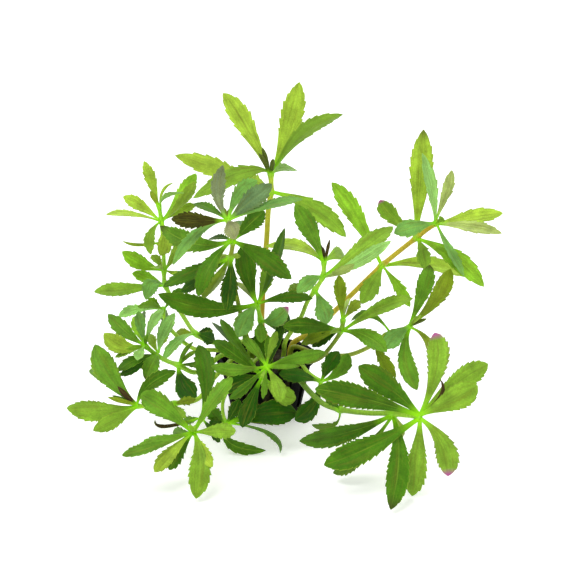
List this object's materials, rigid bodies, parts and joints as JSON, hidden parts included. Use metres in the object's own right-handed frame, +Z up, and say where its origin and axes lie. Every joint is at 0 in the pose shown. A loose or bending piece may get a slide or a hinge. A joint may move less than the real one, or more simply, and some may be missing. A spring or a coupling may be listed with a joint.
{
  "type": "limnophila hippuridoides",
  "caption": "Potted aquarium stem plant with whorls of toothed lance-shaped leaves on bare, leaning stems that rise from a small slotted net pot.",
  "frame": {"origin": "centre of the underside of the pot", "axes": "+Z up along the pot's axis, -Y towards the front of the plant, +X to the right as seen from the front"},
  "size_m": [0.2102, 0.1406, 0.164],
  "materials": {
    "pot": "black moulded plastic, satin",
    "growing_medium": "damp brownish mineral wool",
    "stem": "yellow-olive living stem, smooth",
    "leaf": "fresh green leaf blade, soft sheen",
    "plum_leaf": "green leaf blade flushed purple-grey, soft sheen"
  },
  "bodies": {
    "root": {"pot": "pot", "growing_medium": "growing_medium", "stem_crown": "stem", "whorl_crown_1": "leaf", "whorl_crown_2": "leaf", "stem_plum": "stem", "whorl_plum_1": "plum_leaf", "whorl_plum_2": "leaf", "whorl_plum_3": "leaf", "stem_heart": "stem", "whorl_heart_1": "leaf", "whorl_heart_2": "leaf", "stem_grey": "stem", "whorl_grey_1": "leaf", "whorl_grey_2": "leaf", "whorl_grey_3": "leaf", "stem_right": "stem", "whorl_right_1": "leaf", "whorl_right_2": "leaf", "whorl_right_3": "leaf", "stem_low_right": "stem", "whorl_low_right_1": "leaf", "whorl_low_right_2": "leaf", "stem_far_right": "stem", "whorl_far_right_1": "leaf", "whorl_far_right_2": "leaf", "whorl_far_right_3": "leaf", "stem_short": "stem", "whorl_short_1": "leaf", "stem_front_right": "stem", "whorl_front_right_1": "leaf", "whorl_front_right_2": "leaf", "whorl_front_right_3": "leaf", "stem_front_left": "stem", "whorl_front_left_1": "leaf", "whorl_front_left_2": "leaf", "stem_low_left": "stem", "whorl_low_left_1": "leaf", "whorl_low_left_2": "leaf", "stem_outer_left": "stem", "whorl_outer_left_1": "leaf", "whorl_outer_left_2": "leaf", "whorl_outer_left_3": "leaf", "stem_mid_left": "stem", "whorl_mid_left_1": "leaf", "stem_tall_left": "stem", "whorl_tall_left_1": "leaf", "whorl_tall_left_2": "leaf", "whorl_tall_left_3": "leaf", "whorl_tall_left_4": "leaf", "whorl_tall_left_5": "leaf", "whorl_tall_left_6": "leaf", "stem_front": "stem", "whorl_front_1": "leaf", "whorl_front_2": "leaf", "stem_trailing": "stem", "whorl_trailing_1": "leaf"}
  },
  "joints": []
}
